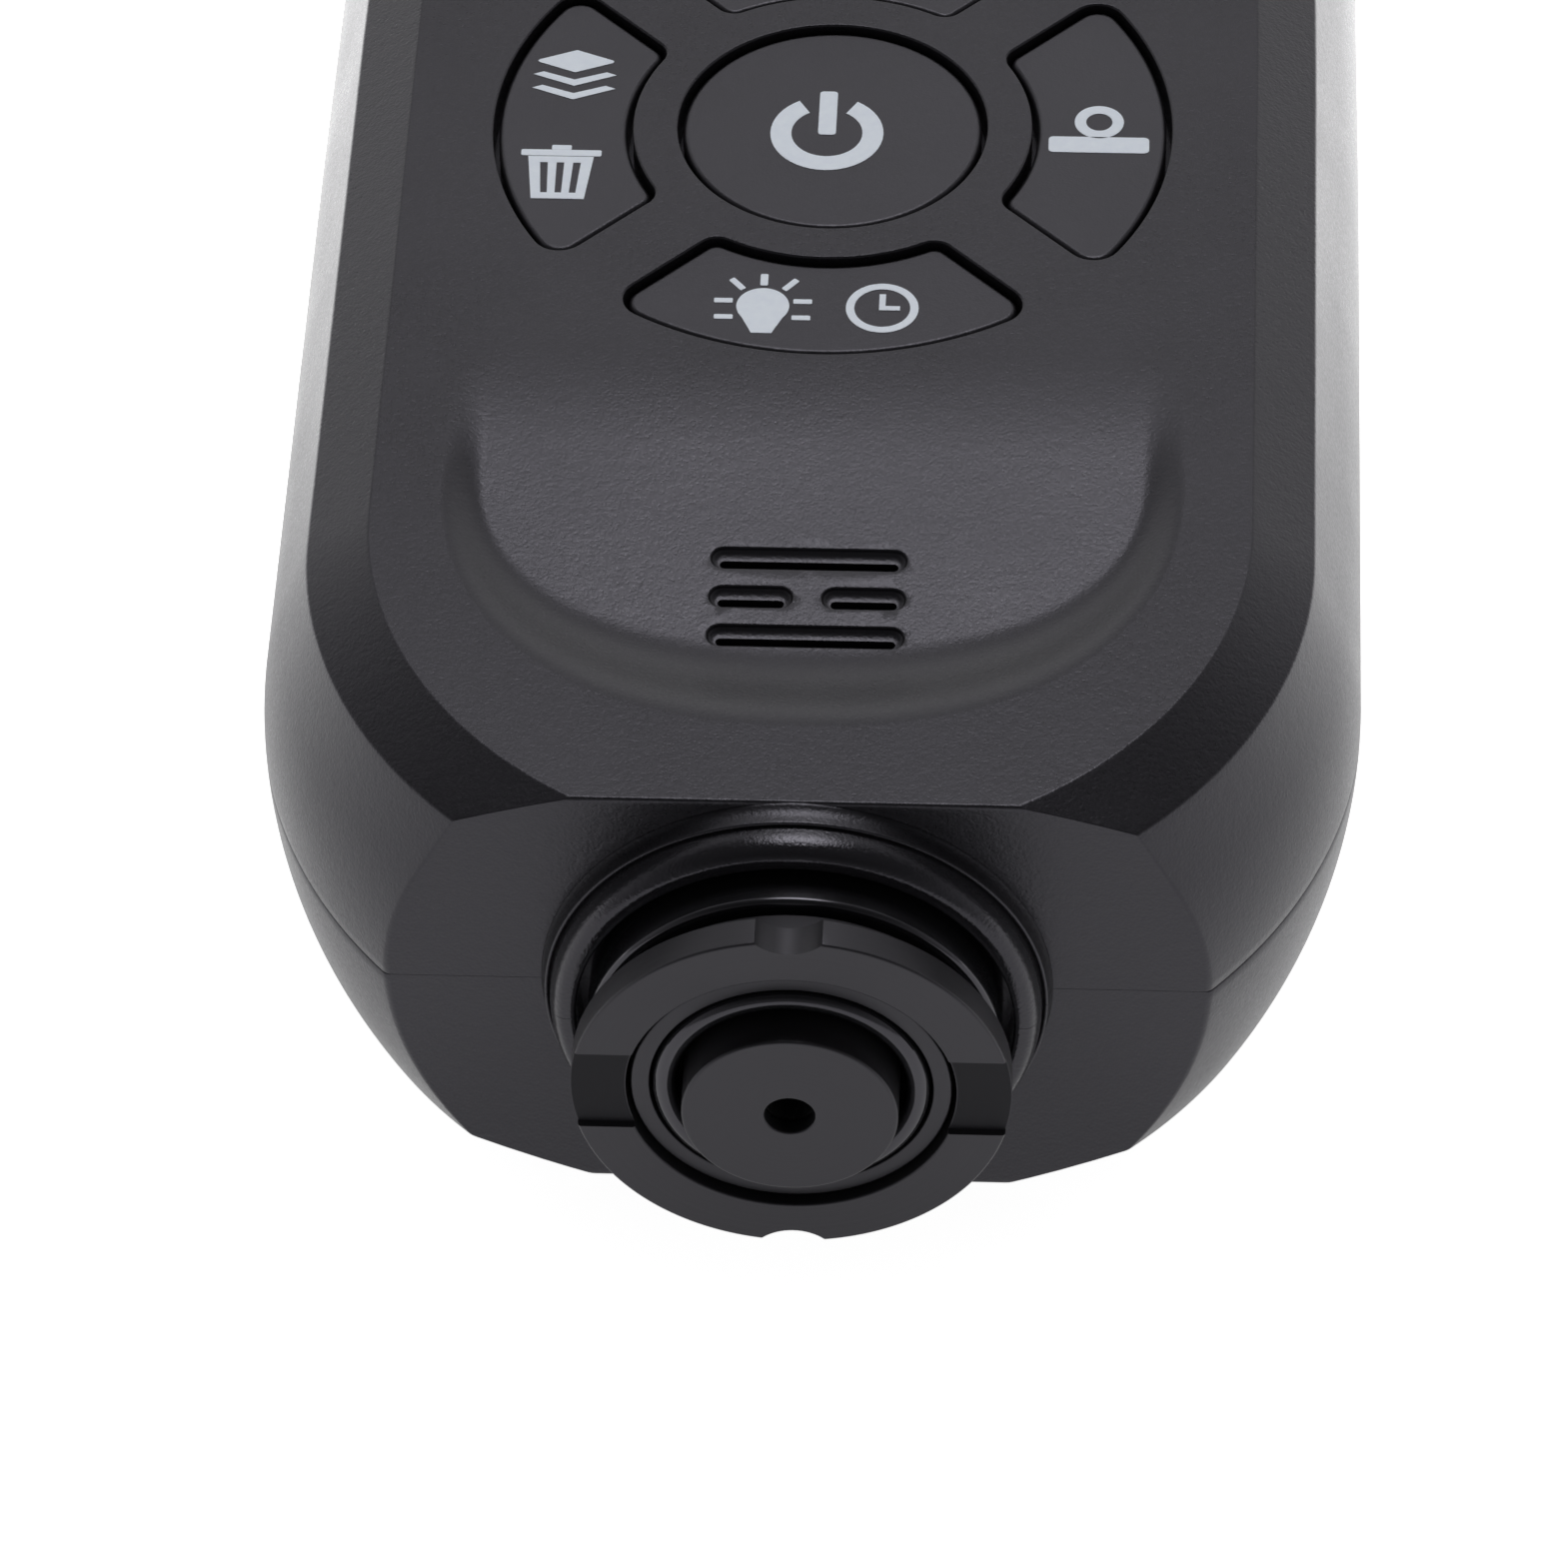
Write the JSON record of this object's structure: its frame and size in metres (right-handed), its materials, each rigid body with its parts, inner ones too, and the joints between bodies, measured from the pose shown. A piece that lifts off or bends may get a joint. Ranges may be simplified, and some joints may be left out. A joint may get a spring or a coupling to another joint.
{
  "type": "coating thickness gauge",
  "caption": "Hand-held coating thickness gauge: flat case with key wheel, thumb rest, display window and a sprung measuring probe at one end.",
  "frame": {"origin": "middle of the overall box, on the flat back that it lies on", "axes": "+X to the right seen from the front with the display up, +Y from the probe to the display, +Z out of the keypad face"},
  "size_m": [0.0588, 0.1312, 0.0283],
  "materials": {
    "case_black": "fine satin moulded texture",
    "key_black": "satin",
    "turned_black": "smooth satin",
    "gloss_black": "polished",
    "window_glass": "clear, smoked",
    "lcd": "smooth",
    "white_plastic": "satin",
    "board_green": "solder mask",
    "chip_black": "matt",
    "silicone": "matt",
    "steel": "nickel plated",
    "copper": "enamelled wire",
    "ferrite": "sintered",
    "battery_skin": "printed sleeve"
  },
  "bodies": {
    "case": {"front_shell": "case_black", "rear_shell": "case_black", "probe_collar": "turned_black", "probe_sleeve": "turned_black", "sleeve_cap": "turned_black", "probe_barrel": "gloss_black", "nose_ring": "gloss_black", "display_window": "window_glass", "lcd_glass": "lcd", "lcd_backlight": "white_plastic", "probe_connector": "white_plastic", "main_board": "board_green", "processor_chip": "chip_black", "buzzer": "chip_black", "keypad_mat": "silicone", "probe_lead": "silicone", "dome_power": "steel", "dome_up": "steel", "dome_left": "steel", "dome_right": "steel", "dome_down": "steel", "case_screw_1": "steel", "case_screw_2": "steel", "case_screw_3": "steel", "case_screw_4": "steel", "probe_nut": "steel", "probe_spring": "steel", "contact_spring_1": "steel", "contact_spring_2": "steel", "contact_tab_1": "steel", "contact_tab_2": "steel", "contact_bridge": "steel", "battery_1": "battery_skin", "battery_2": "battery_skin"},
    "plunger": {"probe_plunger": "turned_black", "coil_bobbin": "chip_black", "coil_winding": "copper", "core_pin": "ferrite"},
    "door": {"battery_door": "case_black"},
    "power_button": {"key_power": "key_black"},
    "up_button": {"key_up": "key_black"},
    "left_button": {"key_left": "key_black"},
    "right_button": {"key_right": "key_black"},
    "down_button": {"key_down": "key_black"}
  },
  "joints": [
    {"name": "key_power_press", "type": "slide", "parent": "case", "child": "power_button", "axis": [0, 0, -1], "range_m": [0, 0.0008], "stiffness_N_per_m": 1500},
    {"name": "key_up_press", "type": "slide", "parent": "case", "child": "up_button", "axis": [0, 0, -1], "range_m": [0, 0.0008], "stiffness_N_per_m": 1500},
    {"name": "key_left_press", "type": "slide", "parent": "case", "child": "left_button", "axis": [0, 0, -1], "range_m": [0, 0.0008], "stiffness_N_per_m": 1500},
    {"name": "key_right_press", "type": "slide", "parent": "case", "child": "right_button", "axis": [0, 0, -1], "range_m": [0, 0.0008], "stiffness_N_per_m": 1500},
    {"name": "key_down_press", "type": "slide", "parent": "case", "child": "down_button", "axis": [0, 0, -1], "range_m": [0, 0.0008], "stiffness_N_per_m": 1500},
    {"name": "plunger_press", "type": "slide", "parent": "case", "child": "plunger", "axis": [0, 1, 0], "range_m": [0, 0.00145], "stiffness_N_per_m": 800, "springref_m": -0.001, "deforming": ["probe_spring"]},
    {"name": "door_hinge", "type": "hinge", "parent": "case", "child": "door", "pos_m": [0, 0.00041, 0], "axis": [-1, 0, 0], "range_deg": [0, 75]}
  ]
}
